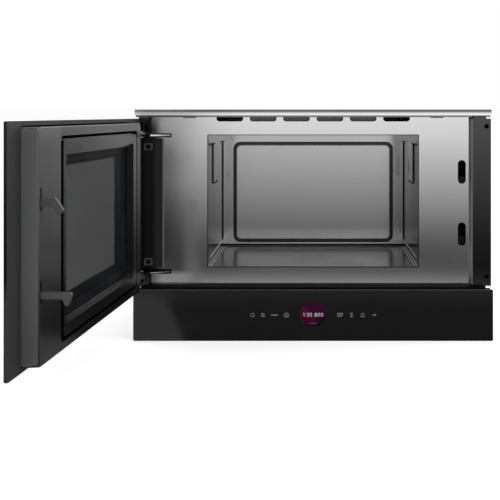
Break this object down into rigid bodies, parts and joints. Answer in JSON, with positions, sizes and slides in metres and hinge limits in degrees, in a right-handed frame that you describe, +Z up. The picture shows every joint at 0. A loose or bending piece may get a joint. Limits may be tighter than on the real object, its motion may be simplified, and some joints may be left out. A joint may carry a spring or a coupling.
{
  "type": "built-in microwave",
  "caption": "Built-in microwave with a glass door hinged at the left and standing open, a steel cavity, and a glass control panel with a round display below.",
  "frame": {"origin": "underside of the housing, on the centre line of the front, in the plane of the cabinet's front edges", "axes": "+X to the right seen from the front, +Y back into the cabinet, +Z up"},
  "size_m": [0.6253, 0.8903, 0.382],
  "materials": {
    "trim_steel": "fine brushed",
    "plate_steel": "satin, brushed along its width",
    "flange_black": "satin black paint",
    "cover_black": "finely textured moulding",
    "door_black": "satin moulding",
    "hinge_steel": "bright rolled",
    "galvanised": "galvanised, with spangle",
    "screw_steel": "zinc plated",
    "cavity_steel": "satin stainless",
    "glass_ceramic": "smooth, opaque",
    "silicone": "matte",
    "lamp_ceramic": "unglazed",
    "inner_black": "moulded",
    "inner_white": "moulded",
    "fin_aluminium": "as rolled",
    "ferrite": "sintered",
    "board_green": "lacquered board",
    "copper": "enamelled windings",
    "capacitor_red": "dipped",
    "panel_black_glass": "polished, printed black behind",
    "display": "polished, lit",
    "contact_gold": "plated",
    "door_black_glass": "polished, printed black behind",
    "pane_glass": "clear, lightly tinted",
    "screen_grey": "perforated, painted",
    "hook_grey": "satin",
    "spring_steel": "drawn wire"
  },
  "bodies": {
    "housing": {"top_trim": "trim_steel", "front_plate": "plate_steel", "side_flange_right": "flange_black", "side_flange_left": "flange_black", "hinge_cover": "cover_black", "hinge_bracket_upper": "hinge_steel", "hinge_bracket_lower": "hinge_steel", "outer_casing": "galvanised", "base_plate": "galvanised", "rear_panel": "galvanised", "front_crossbar": "galvanised", "casing_screws": "screw_steel", "cavity_wrap": "cavity_steel", "cavity_back_wall": "cavity_steel", "cavity_floor": "cavity_steel", "floor_plate": "glass_ceramic", "floor_seal": "silicone", "cavity_lamp": "lamp_ceramic", "thermal_cutout": "inner_black", "exhaust_guide": "galvanised", "waveguide": "galvanised", "antenna_motor": "inner_white", "magnetron_frame": "galvanised", "magnetron_anode": "fin_aluminium", "magnetron_magnets": "ferrite", "magnetron_antenna": "lamp_ceramic", "magnetron_filter_box": "galvanised", "fan_frame": "inner_black", "fan_motor": "inner_black", "air_duct": "inner_white", "inverter_board": "board_green", "inverter_heat_sink": "fin_aluminium", "inverter_transformer": "copper", "inverter_capacitors": "capacitor_red", "mains_filter": "board_green", "power_inlet": "inner_black", "latch_housing": "inner_black", "interlock_switches": "inner_black", "panel_glass": "panel_black_glass", "display_lens": "display", "panel_carrier": "inner_black", "control_board": "board_green", "touch_pads": "contact_gold"},
    "door": {"door_glass": "door_black_glass", "door_frame": "door_black", "choke_cover": "door_black", "door_choke": "plate_steel", "door_gasket": "silicone", "door_pane": "pane_glass", "door_screen": "screen_grey", "hinge_leaf_upper": "hinge_steel", "hinge_leaf_lower": "hinge_steel", "hinge_pins": "screw_steel", "latch_spring": "spring_steel"},
    "latch": {"latch_bar": "hook_grey"},
    "fan": {"fan_impeller": "inner_black"},
    "antenna": {"rotating_antenna": "cavity_steel"}
  },
  "joints": [
    {"name": "door_hinge", "type": "hinge", "parent": "housing", "child": "door", "pos_m": [-0.2852, -0.0114, 0], "axis": [0, 0, 1], "range_deg": [0, 93.4]},
    {"name": "latch_lift", "type": "slide", "parent": "door", "child": "latch", "axis": [0, 0, 1], "range_m": [0, 0.007], "stiffness_N_per_m": 200, "springref_m": -0.01, "deforming": ["latch_spring"]},
    {"name": "fan_spin", "type": "hinge", "parent": "housing", "child": "fan", "pos_m": [0.15, 0.285, 0.05], "axis": [0, 1, 0], "continuous": true},
    {"name": "antenna_spin", "type": "hinge", "parent": "housing", "child": "antenna", "pos_m": [0, 0.14, 0.06], "axis": [0, 0, 1], "continuous": true}
  ]
}
